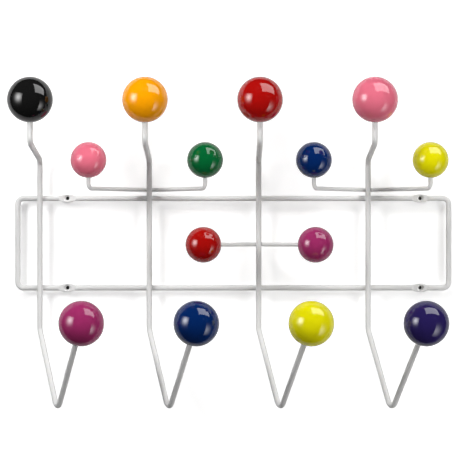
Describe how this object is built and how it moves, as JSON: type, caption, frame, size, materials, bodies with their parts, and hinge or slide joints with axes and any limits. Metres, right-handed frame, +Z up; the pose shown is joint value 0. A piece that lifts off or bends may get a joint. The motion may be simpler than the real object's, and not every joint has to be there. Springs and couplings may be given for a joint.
{
  "type": "wall-mounted coat rack",
  "caption": "Wall coat rack of bent and welded white steel rod: a closed rail loop carries hook rods and short arms, and every rod ends in a glossy coloured ball.",
  "frame": {"origin": "on the wall plane, in the middle of the closed rail loop", "axes": "+X along the rack to the right, +Y into the wall, +Z up; the rack stands in front of the wall, towards -Y"},
  "size_m": [0.5024, 0.1649, 0.3683],
  "materials": {
    "powder_coat": "satin white powder coat over bent steel rod",
    "nylon": "plain moulded white nylon",
    "lacquer_black": "high gloss black lacquer over a turned hardwood ball",
    "lacquer_orange": "high gloss orange lacquer over a turned hardwood ball",
    "lacquer_red": "high gloss red lacquer over a turned hardwood ball",
    "lacquer_pink": "high gloss pink lacquer over a turned hardwood ball",
    "lacquer_magenta": "high gloss magenta lacquer over a turned hardwood ball",
    "lacquer_blue": "high gloss blue lacquer over a turned hardwood ball",
    "lacquer_yellow": "high gloss yellow lacquer over a turned hardwood ball",
    "lacquer_indigo": "high gloss indigo lacquer over a turned hardwood ball",
    "lacquer_green": "high gloss green lacquer over a turned hardwood ball"
  },
  "bodies": {
    "root": {"rail_loop": "powder_coat", "spacer_top_left": "nylon", "spacer_top_right": "nylon", "spacer_bottom_left": "nylon", "spacer_bottom_right": "nylon", "hook_rod_1": "powder_coat", "hook_rod_2": "powder_coat", "hook_rod_3": "powder_coat", "hook_rod_4": "powder_coat", "upper_arm_1": "powder_coat", "upper_arm_2": "powder_coat", "middle_arm_1": "powder_coat", "top_ball_black": "lacquer_black", "top_ball_orange": "lacquer_orange", "top_ball_red": "lacquer_red", "top_ball_pink": "lacquer_pink", "low_ball_magenta": "lacquer_magenta", "low_ball_blue": "lacquer_blue", "low_ball_yellow": "lacquer_yellow", "low_ball_indigo": "lacquer_indigo", "upper_ball_pink": "lacquer_pink", "upper_ball_green": "lacquer_green", "upper_ball_blue": "lacquer_blue", "upper_ball_yellow": "lacquer_yellow", "middle_ball_red": "lacquer_red", "middle_ball_magenta": "lacquer_magenta"}
  },
  "joints": []
}
